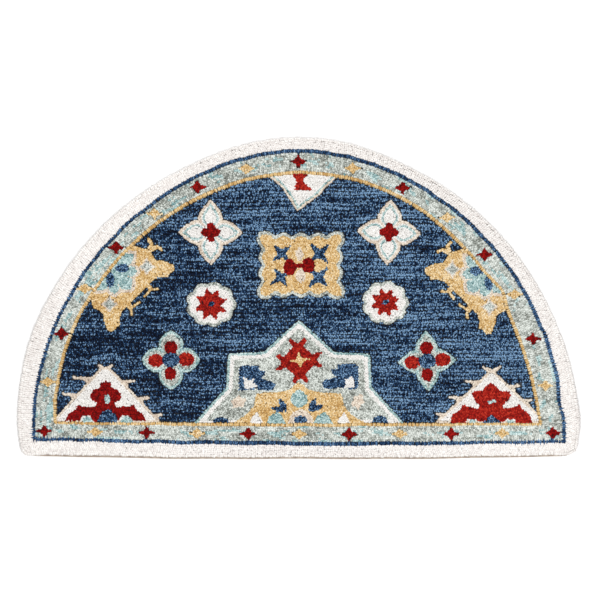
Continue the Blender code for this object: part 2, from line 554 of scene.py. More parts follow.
# %% Half medallion
put("medallion", (0, 0), [
    ([both_sides([(0, -41), (6, -45), (66, -100), (134, -104), (137, -167), (203, -240)])],
     [(0, "sky"), (4.2, "white"), (11.8, "sage")]),
    ([turned(forked_diamond(27, 10, 44, 15.5, 33), 4, (0, -117))], "scarlet"),
    ([star(4, 21, 7, 8, (1, -116), 0.75)], "gold"),
    ([leaf_block + (-80, -149), mirrored([leaf_block])[0] + (78, -146)], "navy"),
    ([crown + (-92, -158), turned(crown, 90) + (93, -156)], "white"),
    ([both_sides([(0, -156), (8, -162), (18, -171), (40, -176), (80, -178), (85, -202), (98, -217),
                  (124, -234), (124, -240)])], "gold"),
    ([leaf(36, 33, 90, (0, -206), 0.45, 0.8)], "sky"),
    ([leaf(29, 13, 118, (-24, -213)), leaf(29, 11, 172, (-24, -210)),
      leaf(28, 13, 64, (19, -213)), leaf(32, 11, 24, (18, -212))], "navy"),
    ([half_dome + (-42, -229), half_dome + (47, -230)], "sky"),
    ([foot_arch + (2, -228)], "beige"),
    ([oval(13, 9, (3, -229))], "navy"),
    ([small_tent + (-80, -231), small_tent + (85, -232)], "white"),
    ([star(5, 17, 11, 20, (-114, -195), 0.8), star(5, 17, 11, 60, (112, -193), 0.8)],
     "beige"),
    ([oval(15, 8, (-148, -231)), oval(15, 11, (153, -231))], "navy"),
])
print("groups on the chart", len(chart))

# %% [markdown]
# ## Palmettes
#
# A palmette grows inward from each flank, and the gold line cuts off its foot.  It is drawn once
# about the axis that it grows along, then turned to point inward, and flipped for the other
# side.

# %% Palmettes


def about_axis(shapes):
    """The shapes together with their reflections in the axis they grow along."""
    return shapes + [shape * np.array([1, -1]) for shape in shapes]


hooks = [stroke((23, 76), (19, 87), (6, 89), width=8, end_width=5),
         stroke((25, 76), (30, 90), (41, 93), width=8, end_width=5)]
twig = [stroke((66, 25), (78, 26), width=9), stroke((80, 6), (77, 24), (88, 36), width=5)]
palmette = [
    (about_axis([
        polygon((-16, 0), (-16, 50), (0, 62), (13, 69), (26, 76), (36, 72), (47, 71), (56, 79),
                (66, 83), (77, 88), (84, 81), (82, 70), (86, 65), (77, 58), (69, 44), (69, 0))]
        + twig) + hooks, "gold"),
    (about_axis([leaf(55, 36, 84, (3, 2), 0.55), leaf(46, 34, 42, (7, 4), 0.6)])
     + [leaf(50, 40, 0, (8, 0), 0.6), oval(30, 34, (8, 0))], [(0, "beige"), (6.0, "sky")]),
    ([oval(13.5, 8.5, (12, 15), 45), oval(14.5, 8.5, (12, -17), -45)], "navy"),
    (about_axis([star(4, 17, 10, 45, (43, 50))]), [(0, "beige"), (2.4, "sage")]),
]
put("left palmette", (-353, 56), palmette, angle=-45)
put("right palmette", (355, 51), palmette, angle=-45, flip=True)
print("groups on the chart", len(chart))

# %% [markdown]
# ## Stars and diamonds of the band
#
# Red four-pointed stars and small gold diamonds take turns along the sage band.  A star sits in
# each bottom corner, eight steps of the arch lie between those corners, and the flat edge has
# five steps.  A diamond falls halfway along each step, so the repeat closes at both corners.

# %% Band repeat
ARCH_STEPS, EDGE_STEPS = 8, 5
SPREAD, LAG = 0.0075, 0.004  # how far the stars stray from even steps round the arch

band_star = [([star(4, 18, 8.5, 0, squash=0.75)], "red")]
band_diamond = [([star(4, 18.5, 9.5, 0, squash=0.6)], "gold")]
band_middle = between(navy_loop, gold_loop, 0.5)
for run, steps in (("arch", ARCH_STEPS), ("edge", EDGE_STEPS)):
    line = band_middle[run]
    for step in range(2 * steps):
        share = step / (2 * steps)
        if run == "arch":
            swing = math.sin(2 * math.pi * share)
            share -= SPREAD * swing + LAG * swing * swing
        place = line[round((len(line) - 1) * share)]
        put("band repeat", place, band_diamond if step % 2 else band_star, zone="band")
print("band motifs", sum(group["zone"] == "band" for group in chart))
print("on the chart", sorted({group["name"] for group in chart}))

# %% [markdown]
# ## Where the stitches go
#
# A tufter shoots the outline of a shape first, one row of stitches just inside its edge, and
# then fills it with straight rows.  The script does the same.  It walks along each band's edge
# one stitch at a time, top layers first, and fills what is left.  Small motifs get rows that lie
# closer than those of the plain field, so that they stay crisp.

# %% Stitch sizes, in millimetres
FIELD_STITCH, FIELD_ROW = 2.7, 3.5
FINE_STITCH, FINE_ROW = 3.3, 3.1
RING_STITCH = 4.0
NAVY_ROW, GOLD_ROW = 8.0, 6.0
CREAM_ROWS, SAGE_ROWS = 6, 8
CLOSEST, ROW_CLOSEST = 0.72, 0.56  # of a stitch: no nearer along an outline, or beside one
ROOM = {"motif": 1.3, "repeat": 1.0, "field": 2.0}  # what each keeps clear of a line's edge
chance = np.random.default_rng(11)
print("fine stitches in 100 mm of row", round(100 / FINE_STITCH))

# %% Reading the chart


def read_chart(points, zone):
    """The topmost layer at each point, and how far off the nearest motif of a zone is."""
    top = np.full(len(points), -1)
    clear = np.full(len(points), FAR_OFF)
    for number, group in enumerate(chart):
        if group["zone"] == zone:
            distance = union_distance(points, group["shapes"])
            clear = np.minimum(clear, distance)
            for band, (inset, _) in enumerate(group["bands"]):
                top[distance < -inset] = 10 * number + band
    return top, clear


def yarn_of(layer):
    """The yarn of a layer number."""
    return chart[layer // 10]["bands"][layer % 10][1]


def in_zone(points, zone):
    """Which points lie far enough inside the part of the rug a zone's motifs may fill."""
    from_gold = shape_distance(points, whole(gold_loop))
    if zone == "field":
        return from_gold < -GOLD_ROW / 2 - ROOM["motif"]
    from_navy = shape_distance(points, whole(navy_loop))
    return (from_navy < -NAVY_ROW / 2 - ROOM["repeat"]) & (from_gold > GOLD_ROW / 2 + ROOM["repeat"])


topmost, _ = read_chart(np.array([(-165.0, -9.0)]), "field")
print("yarn at the heart of the left rosette", yarn_of(int(topmost[0])))

# %% Room to stand
CELL = 4.0


class Places:
    """Stitch places, sorted into small cells so that near ones are found fast."""

    def __init__(self):
        self.cells = {}

    def add(self, x, y):
        self.cells.setdefault((int(x // CELL), int(y // CELL)), []).append((x, y))

    def near(self, x, y, gap):
        i, j = int(x // CELL), int(y // CELL)
        return any((x - u) ** 2 + (y - v) ** 2 < gap * gap
                   for di in (-1, 0, 1) for dj in (-1, 0, 1)
                   for u, v in self.cells.get((i + di, j + dj), ()))


# %% [markdown]
# ## Walking along an outline
#
# The distance to a shape, kept on a fine grid, is like a map with contour lines.  A row of
# outline stitches follows one contour.  From each place the walk takes one stitch forward and
# slides back onto the contour, so it rounds lobes and corners by itself.

# %% Distance map


def distance_map(group):
    """A group's distances on a one-millimetre grid, with the grid's low corner."""
    corner = np.floor(np.min([shape.min(0) for shape in group["shapes"]], axis=0)) - 3
    far = np.ceil(np.max([shape.max(0) for shape in group["shapes"]], axis=0)) + 3
    xs, ys = np.arange(corner[0], far[0] + 1), np.arange(corner[1], far[1] + 1)
    points = np.stack(np.meshgrid(xs, ys), axis=-1).reshape(-1, 2)
    return union_distance(points, group["shapes"]).reshape(len(ys), len(xs)), corner


def look(grid, corner, x, y):
    """The distance at a place, and the way it grows, by blending the four nearest values."""
    u, v = x - corner[0], y - corner[1]
    i, j = int(u), int(v)
    if not (0 <= i < grid.shape[1] - 1 and 0 <= j < grid.shape[0] - 1):
        return None
    s, t = u - i, v - j
    a, b, c, d = grid[j, i], grid[j, i + 1], grid[j + 1, i], grid[j + 1, i + 1]
    value = (a * (1 - s) + b * s) * (1 - t) + (c * (1 - s) + d * s) * t
    return value, (b - a) * (1 - t) + (d - c) * t, (c - a) * (1 - s) + (d - b) * s


print("size of the first motif's map", distance_map(chart[0])[0].shape)

# %% Following a level line
FLAT_TOP = 0.2  # the distance grows too slowly to follow
OFF_LINE = 0.8


def settle(grid, corner, level, x, y):
    """Slide a place onto a level line; returns it with the line's direction."""
    for _ in range(3):
        seen = look(grid, corner, x, y)
        if seen is None:
            return None
        value, gx, gy = seen
        size = math.hypot(gx, gy)
        if size < FLAT_TOP:
            return None
        x -= (value - level) * gx / size
        y -= (value - level) * gy / size
    if abs(value - level) > OFF_LINE:
        return None
    return x, y, -gy / size, gx / size


def outline_row(grid, corner, level, stitch):
    """Stitches one after another along every level line of a distance map."""
    own, row = Places(), []
    for j, i in np.argwhere(np.abs(grid - level) < 0.5):
        start = settle(grid, corner, level, i + corner[0] + 0.5, j + corner[1] + 0.5)
        if start is None or own.near(start[0], start[1], stitch * 0.9):
            continue
        own.add(*start[:2])
        row.append(start)
        for way in (1, -1):
            x, y, tx, ty = start
            while True:
                reached = settle(grid, corner, level, x + way * tx * stitch, y + way * ty * stitch)
                if reached is None or own.near(reached[0], reached[1], stitch * CLOSEST):
                    break
                own.add(*reached[:2])
                row.append(reached)
                x, y, tx, ty = reached
    return row


print("stitches round the first motif", len(outline_row(*distance_map(chart[0]), 0.0, FINE_STITCH)))

# %% Outline rows
outline_stitches = []
taken = Places()
for number in range(len(chart) - 1, -1, -1):
    group = chart[number]
    grid, corner = distance_map(group)
    for band in range(len(group["bands"]) - 1, -1, -1):
        level = -group["bands"][band][0] - FINE_STITCH / 2
        row = outline_row(grid, corner, level, FINE_STITCH)
        if not row:
            continue
        points = np.array([place[:2] for place in row])
        top, _ = read_chart(points, group["zone"])
        keep = (top == 10 * number + band) & in_zone(points, group["zone"])
        for place, kept in zip(row, keep):
            if kept and not taken.near(place[0], place[1], FINE_STITCH * CLOSEST):
                taken.add(place[0], place[1])
                outline_stitches.append((*place, 10 * number + band))
print("outline stitches", len(outline_stitches))

# %% [markdown]
# ## The stitch book
#
# Every stitch is entered in one book with its place, direction, size and yarn.  The motifs are
# filled in two passes: straight rows first, then single stitches in the gaps that are left
# between those rows and the outlines, where a maker would also put in a few by hand.

# %% Stitch book
stitches = {key: [] for key in ("x", "y", "turn", "long", "wide", "yarn", "part", "along", "across")}


def sew(part, points, turn, long, wide, yarns, along=None, across=None):
    """Enter stitches in the book: the part of the rug they make, their places, direction, size
    and yarn, and how far along and across their rows they lie."""
    along, across = (points[:, 0], points[:, 1]) if along is None else (along, across)
    entry = {"x": points[:, 0], "y": points[:, 1], "turn": turn, "long": long, "wide": wide,
             "yarn": yarns, "part": part, "along": along, "across": across}
    for key, values in entry.items():
        stitches[key].append(np.broadcast_to(np.asarray(values), (len(points),)))


outline_stitches = np.array(outline_stitches)
sew("motif", outline_stitches[:, :2], np.arctan2(outline_stitches[:, 3], outline_stitches[:, 2]),
    FINE_STITCH, FINE_STITCH, [yarn_of(int(layer)) for layer in outline_stitches[:, 4]])
print("stitches in the book", sum(map(len, stitches["x"])))

# %% Filling the motifs
ROW_WANDER = 3.0


def rows_of(stitch, row, shift=0.0):
    """A grid of stitches over the whole rug, in rows that wander, with their row numbers."""
    xs = np.arange(low.x / MM, high.x / MM, stitch)
    ys = np.arange(low.y / MM, high.y / MM, row)
    x, y = np.meshgrid(xs, ys)
    x = x + (np.arange(len(ys)) % 2)[:, None] * shift * stitch
    y = y + ROW_WANDER * drift(x, y, 45, 60, 5)
    number = np.broadcast_to(np.arange(len(ys))[:, None], x.shape)
    return np.column_stack([x.ravel(), y.ravel()]), number.ravel()


def fill(grid_stitch, grid_row, gap):
    """Fill the motifs with stitches from a grid, wherever none stands nearer than the gap."""
    points, _ = rows_of(grid_stitch, grid_row, 0.5)
    for zone in ("field", "band"):
        top, clear = read_chart(points, zone)
        keep = (top >= 0) & (clear < -1.0)
        keep[keep] = in_zone(points[keep], zone)
        free = []
        for x, y in points[keep]:
            free.append(not taken.near(x, y, gap))
            if free[-1]:
                taken.add(x, y)
        keep[keep] = free
        sew("motif", points[keep], 0.0, FINE_STITCH, FINE_ROW * 1.1,
            [yarn_of(layer) for layer in top[keep]])
        print(zone, "fill stitches", int(keep.sum()))


fill(FINE_STITCH, FINE_ROW, FINE_STITCH * ROW_CLOSEST)
fill(FINE_STITCH / 3, FINE_ROW / 3, FINE_STITCH * CLOSEST)

# %% [markdown]
# ## Rows that run round the rug
#
# The border, the two lines and the sage band are shot in rows that follow the edge.  Every row
# of a band has the same number of stitches, so they line up across it as fine ribs.  Wisps of
# sky-blue yarn run along the middle of the sage band.

# %% One row round the rug
DYE_ROW = 5.0  # how far apart the dye streaks take two rows to be
BESIDE_REPEAT = 0.4


def sew_ring(part, outer, inner, share, wide, yarn, row=0.0):
    """Sew one row round the rug, some share of the way from one loop to another, and leave out
    what a motif of the band covers.  Share and width follow from the gap between the loops."""
    for run in ("arch", "edge"):
        count = round(np.linalg.norm(np.diff(outer[run], axis=0), axis=1).sum() / RING_STITCH)
        start, end = even_run(outer[run], count + 1), even_run(inner[run], count + 1)
        gap = np.linalg.norm(end - start, axis=1)
        crossed = np.broadcast_to(share(gap), gap.shape)[:, None]
        line = start * (1 - crossed) + end * crossed
        step = line[1:] - line[:-1]
        middle = (line[1:] + line[:-1]) / 2
        _, clear = read_chart(middle, "band")
        keep = clear > BESIDE_REPEAT
        sew(part, middle[keep], np.arctan2(step[:, 1], step[:, 0])[keep],
            np.linalg.norm(step, axis=1)[keep], np.broadcast_to(wide(gap[1:]), count)[keep],
            yarn(middle)[keep], (np.arange(count) * RING_STITCH)[keep], row * DYE_ROW)


print("one row of stitches is", RING_STITCH, "mm a stitch, kept", BESIDE_REPEAT, "mm off a motif")

# %% Border, lines and sage band
WISP_LONG, WISP_WIDE, WISP_RAGGED = 19, 4.6, 0.18
WISP_FROM, WISP_THINNING = 0.30, 0.10  # wisps thin out away from the band's middle row


def plain(yarn):
    """Only one yarn, whatever the place."""
    return lambda points: np.full(len(points), yarn)


def sage_or_sky(row):
    """Sage yarn, with wisps of sky blue that lie along the band's middle rows."""
    def pick(points):
        along = np.arange(len(points)) * RING_STITCH + 8 * row
        wisp = drift(along, row * 2.6, WISP_LONG, WISP_WIDE, 21)
        wisp += WISP_RAGGED * chance.uniform(-1, 1, len(points))
        off_middle = abs(row - (SAGE_ROWS - 1) / 2)
        return np.where(wisp > WISP_FROM + WISP_THINNING * off_middle, "sky", "sage")
    return pick


def sew_band(outer, inner, rows, before, after, yarn_of_row):
    """Fill the gap between two loops with rows, but for half a line's width at either side."""
    for row in range(rows):
        sew_ring("ring", outer, inner,
                 lambda gap: (before + (row + 0.5) / rows * (gap - before - after)) / gap,
                 lambda gap: (gap - before - after) / rows, yarn_of_row(row), row)


sew_band(rim_loop, navy_loop, CREAM_ROWS, 0, NAVY_ROW / 2, lambda row: plain("cream"))
sew_ring("navy line", navy_loop, gold_loop, lambda gap: 0.0, lambda gap: NAVY_ROW, plain("navy"))
sew_band(navy_loop, gold_loop, SAGE_ROWS, NAVY_ROW / 2, GOLD_ROW / 2, sage_or_sky)
sew_ring("gold line", navy_loop, gold_loop, lambda gap: 1.0, lambda gap: GOLD_ROW, plain("gold"))
print("stitches in the book", sum(map(len, stitches["x"])))

# %% [markdown]
# ## The navy field
#
# The plain field is shot last, in long straight rows from side to side, up to every motif.
# Rows close up in pairs here and part there, as they do under a hand-held gun.  Then the book
# is closed: single lines get their own fullness, and every stitch strays a little by chance.

# %% Field rows
FIELD_CLEAR = 1.9
PAIRING = 0.45
points, number = rows_of(FIELD_STITCH, FIELD_ROW)
inside = shape_distance(points, whole(gold_loop)) < -GOLD_ROW / 2 - ROOM["field"]
points, number = points[inside], number[inside]
_, clear = read_chart(points, "field")
points, number = points[clear > FIELD_CLEAR], number[clear > FIELD_CLEAR]
pairing = PAIRING + PAIRING * drift(points[:, 0], points[:, 1], 40, 9, 41)
points[:, 1] += np.where(number % 2, -pairing, pairing)
sew("field", points, 0.0, FIELD_STITCH, FIELD_ROW, "navy", points[:, 0], number * DYE_ROW)
print("field stitches", len(points))

# %% Close the book
FLANK_FROM = 400
FULLER_LOW, FULLER_FLANK, GOLD_SHORTER = 1.26, 1.3, 0.84
book = {key: np.concatenate(values) for key, values in stitches.items()}
navy_line, gold_line, field = (book["part"] == part for part in ("navy line", "gold line", "field"))


def by_part(line, plain, rest):
    """A number for the stitches of the navy line, one for the field and one for the rest."""
    return np.select([navy_line, field], [line, plain], rest)


flank = navy_line & (np.abs(book["x"]) > FLANK_FROM)
book["wide"][navy_line] *= np.interp(book["y"][navy_line], (-120, 60), (FULLER_LOW, 1.0))
book["wide"][flank] *= np.interp(book["y"][flank], (0, 100), (FULLER_FLANK, 1.0))
book["long"][gold_line] *= GOLD_SHORTER
stray = np.where(book["part"] == "ring", 0.25, by_part(1.2, 0.6, 0.5))
for key in ("x", "y"):
    book[key] = book[key] + stray * chance.uniform(-1, 1, len(book[key]))
print("stitches", dict(zip(*np.unique(book["yarn"], return_counts=True))), "all", len(book["x"]))

# %% [markdown]
# ## How high each tuft stands
#
# The pile stands nine millimetres above the ground cloth.  At the rim its top rolls down like
# the solid's own rounded rim: the outermost tufts are rooted lower and lean outward over the
# hem.  Along the flat edge they stand a little further in, and the glued fold of the cloth
# shows, coloured a darker brown as painted shade.

# %% Heights
CLOTH_THICK = 3.0
PILE_TOP = 12.0
RIM_ROLL = 7.5
RIM_ZONE = (1, 9)  # from where to where, inward, the rim's own roots and lean fade
ROOTS = (0.6, 2.2)
RIM_LEAN = math.radians(14)

places = np.column_stack([book["x"], book["y"]])
from_edge = -shape_distance(places, whole(rug_loop))
reach = (RIM_ROLL - from_edge).clip(0, RIM_ROLL)
top_height = PILE_TOP - RIM_ROLL + np.sqrt(RIM_ROLL ** 2 - reach ** 2)
book["root"] = np.interp(from_edge, RIM_ZONE, ROOTS)
book["tall"] = top_height - book["root"]
book["lean"] = RIM_LEAN * np.interp(from_edge, RIM_ZONE, (1, 0))
print("tufts from", book["tall"].min().round(2), "to", book["tall"].max().round(2), "mm long,",
      "tops from", top_height.min().round(2), "to", top_height.max().round(2), "mm up")

# %% [markdown]
# ## Tones
#
# Every stitch gets a tone, the shade its yarn took in the dye bath: a little chance, long
# streaks that run with the rows, a slow change from one flank to the other, and two skeins, one
# darker and one lighter, that the maker used up in the navy field.

# %% Tones
MIDDLE_TONE = 0.50
DYE_STREAKS = ((0.20, 90, 14.0, 31), (0.26, 40, 3.2, 32))  # strength, length, width and seed
SAGE_BLOTS = 0.16
LINES_DARKER = 0.05
TO_THE_RIGHT = 0.06 / 300
DARKER, LIGHTER = 0.18, 0.07


def skein(x, y, flatter, reach):
    """Where one skein was used up: a share that is one about a place and fades to nought."""
    away = np.hypot((book["x"] - x) / flatter, book["y"] - y)
    return (1.3 - away / reach).clip(0, 1)


streaky = by_part(0.2, 1.0, 0.35)
book["tone"] = MIDDLE_TONE + by_part(0.12, 0.33, 0.24) * chance.uniform(-1, 1, len(places))
for strength, length, width, seed in DYE_STREAKS:
    book["tone"] += streaky * strength * drift(book["along"], book["across"], length, width, seed)
book["tone"] += SAGE_BLOTS * (book["yarn"] == "sage") * drift(book["x"], book["y"], 17, 11, 33)
book["tone"] += streaky * TO_THE_RIGHT * book["x"] - LINES_DARKER * (navy_line | gold_line)
book["tone"] += field * (LIGHTER * skein(-45, 10, 1.6, 50) - DARKER * skein(-180, -205, 1.3, 100 / 1.3))
print("tones", book["tone"].min().round(2), book["tone"].max().round(2))

# %% [markdown]
# ## One tuft, repeated by Geometry Nodes
#
# A tuft is a small closed dome, drawn in at its root where the cloth grips it.  One node tree
# makes the whole pile: it stands a tuft on every stitch, turns it with its row, stretches it to
# the stitch's own size, and gives each a slight stray in size and lean.  The stitches carry
# their sizes as attributes, so one tree serves every yarn.

# %% Node helpers


def wire(node, inputs):
    """Give each named input of a node a value, or a link from another node's output."""
    for key, value in inputs.items():
        if isinstance(value, bpy.types.NodeSocket):
            node.id_data.links.new(value, node.inputs[key])
        else:
            node.inputs[key].default_value = value


def tools_for(tree):
    """Two tools for a tree: one adds a node and returns an output, one works out a sum."""
    def add(kind, inputs=None, out=0, **settings):
        made = tree.nodes.new(kind)
        for key, value in settings.items():
            setattr(made, key, value)
        wire(made, inputs or {})
        return made.outputs[out] if len(made.outputs) else None

    def calc(operation, *values):
        return add("ShaderNodeMath", dict(enumerate(values)), operation=operation)

    return add, calc


# %% Pile tree


def tuft(add):
    """A closed dome one unit wide and tall, which keeps how high up each of its points is."""
    dome = add("GeometryNodeMeshIcoSphere", {"Radius": 0.5, "Subdivisions": 1})
    smooth = add("GeometryNodeSetShadeSmooth", {"Geometry": dome})
    raised = add("GeometryNodeTransform", {"Geometry": smooth, "Translation": (0, 0, 0.5)})
    height = add("ShaderNodeSeparateXYZ", {0: add("GeometryNodeInputPosition")}, out="Z")
    return add("GeometryNodeStoreNamedAttribute",
               {"Geometry": raised, "Name": "rise", "Value": height},
               data_type="FLOAT", domain="POINT")


def pile_tree():
    """A node tree that turns a mesh of stitch places into tufts of pile."""
    tree = bpy.data.node_groups.new("Tufted pile", "GeometryNodeTree")
    for name, kind in (("Stitches", "Geometry"), ("Fullness along", "Float"),
                       ("Fullness across", "Float"), ("Size stray", "Float"),
                       ("Lean stray", "Float"), ("Seed", "Int"), ("Wool", "Material")):
        tree.interface.new_socket(name, in_out="INPUT", socket_type="NodeSocket" + kind)
    tree.interface.new_socket("Pile", in_out="OUTPUT", socket_type="NodeSocketGeometry")
    given = tree.nodes.new("NodeGroupInput").outputs
    add, calc = tools_for(tree)

    def carried(name):
        """A number that every stitch carries."""
        return add("GeometryNodeInputNamedAttribute", {"Name": name}, "Attribute",
                   data_type="FLOAT")

    def stray(name, middle, own_seed):
        """A random value about a middle, off it by up to the amount that an input gives."""
        seed = calc("ADD", given["Seed"], own_seed)
        value = add("FunctionNodeRandomValue", {2: -1.0, 3: 1.0, "Seed": seed}, 1,
                    data_type="FLOAT")
        return calc("MULTIPLY_ADD", value, given[name], middle)

    def side(stitch, fullness, own_seed):
        """One side of a tuft: the stitch's own, made fuller, give or take a little."""
        full = calc("MULTIPLY", carried(stitch), given[fullness])
        return calc("MULTIPLY", full, stray("Size stray", 1.0, own_seed))

    size = add("ShaderNodeCombineXYZ",
               {"X": side("long", "Fullness along", 1), "Y": side("wide", "Fullness across", 2),
                "Z": carried("tall")})
    turn = add("ShaderNodeCombineXYZ",
               {"X": calc("ADD", carried("lean"), stray("Lean stray", 0.0, 3)),
                "Y": stray("Lean stray", 0.0, 4), "Z": carried("turn")})
    tufts = add("GeometryNodeInstanceOnPoints",
                {"Points": given["Stitches"], "Instance": tuft(add), "Rotation": turn,
                 "Scale": size})
    real = add("GeometryNodeRealizeInstances", {"Geometry": tufts})
    dressed = add("GeometryNodeSetMaterial", {"Geometry": real, "Material": given["Wool"]})
    add("NodeGroupOutput", {"Pile": dressed})
    return tree


tree = pile_tree()
sockets = {item.name: item.identifier for item in tree.interface.items_tree}
print("pile tree", len(tree.nodes), "nodes, with", list(sockets))

# %% [markdown]
# ## Wool
#
# Every yarn is the same wool, dyed.  A colour ramp holds its darkest, usual and lightest shade.
# The tuft's tone picks a place on the ramp, and a noise as fine as the ply moves it, so no tuft
# is one flat colour.  Each tuft's colour is painted darker toward its root, a painted shade for
# the light that does not reach down between the tufts.  Wool has a soft sheen, and a small bump
# stands for the fibres.

# %% Material helpers


def new_material(name):
    """A new material, its shader, and the tools for its tree."""
    material = bpy.data.materials.new(name)
    material.use_nodes = True
    tree = material.node_tree
    return material, tree.nodes["Principled BSDF"], *tools_for(tree)


def shades(add, place, *stops):
    """The colour at a place on a ramp, from the ramp's stops in order."""
    colour = add("ShaderNodeValToRGB", {"Fac": place})
    elements = colour.node.color_ramp.elements
    elements[0].position, elements[1].position = stops[0][0], stops[-1][0]
    for position, _ in stops[1:-1]:
        elements.new(position)
    for element, (_, shade) in zip(elements, stops):
        element.color = (*shade, 1)
    return colour


# %% Wool material
PLY_TWIST = {"Detail": 2.0, "Roughness": 0.65}
FIBRE = {"Scale": 1400, "Detail": 1.0}


def wool(name, dark, usual, light, spread=1.0, mottle=0.5, root=0.45, grain=330):
    """A dyed wool, from its darkest, usual and lightest shade; root is the share of colour that the
    painted shade at each tuft's base leaves.
    """
    material, shader, add, calc = new_material(name)
    place = add("ShaderNodeTexCoord", out="Object")
    ply = add("ShaderNodeTexNoise", {"Vector": place, "Scale": grain, **PLY_TWIST})
    tone = add("ShaderNodeAttribute", out="Fac", attribute_name="tone")
    spreading = calc("MULTIPLY_ADD", tone, spread, 0.5 - 0.5 * spread - 0.5 * mottle)
    dyed = shades(add, calc("MULTIPLY_ADD", ply, mottle, spreading),
                  (0.15, dark), (0.5, usual), (0.85, light))
    # Painted shade: the dyed colour is multiplied darker toward each tuft's base, down to the root share,
    # where shade falls between the tufts.
    rise = add("ShaderNodeAttribute", out="Fac", attribute_name="rise")
    painted_root_shade = add("ShaderNodeMapRange",
                 {"Value": rise, "From Min": 0.45, "From Max": 0.95, "To Min": root, "To Max": 1.0})
    dye_under_painted_shade = add("ShaderNodeMix", {"Factor": 1.0, 6: dyed, 7: painted_root_shade}, 2,
               data_type="RGBA", blend_type="MULTIPLY")
    fibre = add("ShaderNodeTexNoise", {"Vector": place, **FIBRE})
    rough = add("ShaderNodeMapRange", {"Value": fibre, "To Min": 0.82, "To Max": 1.0})
    bump = add("ShaderNodeBump", {"Height": fibre, "Strength": 0.5, "Distance": 0.0006})
    wire(shader, {"Base Color": dye_under_painted_shade, "Roughness": rough, "Normal": bump,
                  "Specular IOR Level": 0.10, "Sheen Weight": 0.02, "Sheen Roughness": 0.6})
    return material


# %% The nine yarns
# root in these yarns is the share of colour that the painted shade at each tuft's base leaves.
PALE = {"spread": 0.6, "mottle": 0.8, "root": 0.8, "grain": 420}
RED = {"mottle": 0.9, "root": 0.4}
yarns = {
    "navy": wool("Wool navy", (0.002, 0.006, 0.022), (0.015, 0.067, 0.180), (0.235, 0.395, 0.590),
                 spread=1.35, mottle=2.2, root=0.2, grain=580),
    "cream": wool("Wool cream", (0.61, 0.565, 0.54), (0.772, 0.740, 0.715), (0.88, 0.865, 0.84),
                  **PALE),
    "sage": wool("Wool sage", (0.15, 0.16, 0.14), (0.49, 0.52, 0.48), (0.74, 0.77, 0.73),
                 mottle=2.2, root=0.60, grain=500),
    "sky": wool("Wool sky", (0.07, 0.19, 0.205), (0.36, 0.495, 0.485), (0.66, 0.77, 0.76),
                spread=0.8, mottle=1.6, root=0.7, grain=450),
    "gold": wool("Wool gold", (0.42, 0.23, 0.07), (0.645, 0.445, 0.19), (0.86, 0.75, 0.55),
                 spread=0.8, mottle=1.3, root=0.65, grain=450),
    "red": wool("Wool red", (0.07, 0.001, 0.001), (0.21, 0.001, 0.001), (0.36, 0.008, 0.006), **RED),
    "scarlet": wool("Wool scarlet", (0.12, 0.003, 0.002), (0.33, 0.008, 0.005), (0.52, 0.04, 0.02),
                    **RED),
    "white": wool("Wool white", (0.59, 0.57, 0.54), (0.72, 0.70, 0.675), (0.87, 0.86, 0.845), **PALE),
    "beige": wool("Wool beige", (0.50, 0.40, 0.32), (0.65, 0.565, 0.47), (0.80, 0.735, 0.64),
                  root=0.75),
}
print("yarns", list(yarns))

# %% [markdown]
# ## The pile, yarn by yarn
#
# A shop would wind each yarn on its own cone, so each yarn is one piece here.  The navy field is
# large, so it is cut into bays from left to right, and no piece grows too heavy.  The tree's
# result becomes a plain mesh, and a flat map seen from above is laid on it.

# %% Flat map
MAP_MARGIN = 1.04


def set_out(name, data):
    """A new object in the scene, from its mesh, lamp or lens."""
    made = bpy.data.objects.new(name, data)
    bpy.context.collection.objects.link(made)
    return made


def lay_flat_map(mesh):
    """A map seen straight from above, laid on the mesh as its UV map."""
    layer = mesh.uv_layers.new(name="OFBake")
    corners = np.empty(len(mesh.loops), np.int32)
    mesh.loops.foreach_get("vertex_index", corners)
    where = np.empty(len(mesh.vertices) * 3)
    mesh.vertices.foreach_get("co", where)
    side = max(high.x - low.x, high.y - low.y) * MAP_MARGIN
    flat = where.reshape(-1, 3)[corners, :2] / side + 0.5
    layer.data.foreach_set("uv", flat.ravel())


# %% A piece of pile
CARRIED = {"turn": 1, "long": MM, "wide": MM, "tall": MM, "lean": 1, "tone": 1}
SIZE_STRAY, LEAN_STRAY = 0.08, 0.12


def pile_piece(name, chosen, material, seed, fullness):
    """A piece of pile made of the chosen stitches."""
    mesh = bpy.data.meshes.new(name + " stitches")
    spots = np.column_stack([book["x"], book["y"], book["root"]])[chosen] * MM
    mesh.from_pydata(spots.tolist(), [], [])
    for key, unit in CARRIED.items():
        attribute = mesh.attributes.new(key, "FLOAT", "POINT")
        attribute.data.foreach_set("value", (book[key][chosen] * unit).astype(np.float32))
    source = set_out(name + " stitches", mesh)
    modifier = source.modifiers.new("Tufts", "NODES")
    modifier.node_group = tree
    for socket, value in (("Fullness along", fullness[0]), ("Fullness across", fullness[1]),
                          ("Size stray", SIZE_STRAY), ("Lean stray", LEAN_STRAY), ("Seed", seed),
                          ("Wool", material)):
        modifier[sockets[socket]] = value
    bpy.context.view_layer.update()
    evaluated = source.evaluated_get(bpy.context.evaluated_depsgraph_get())
    made = bpy.data.meshes.new_from_object(evaluated)
    made.name = name
    bpy.data.objects.remove(source)
    for key in CARRIED:
        if key != "tone" and key in made.attributes:
            made.attributes.remove(made.attributes[key])
    lay_flat_map(made)
    print(name, "tufts", int(chosen.sum()), "faces", len(made.polygons))
    return set_out(name, made)


# %% Pile pieces
FULLNESS = {"navy": (1.36, 1.38), "cream": (1.56, 1.80)}
USUAL_FULLNESS = (1.70, 1.80)
MOST_TUFTS = 9000

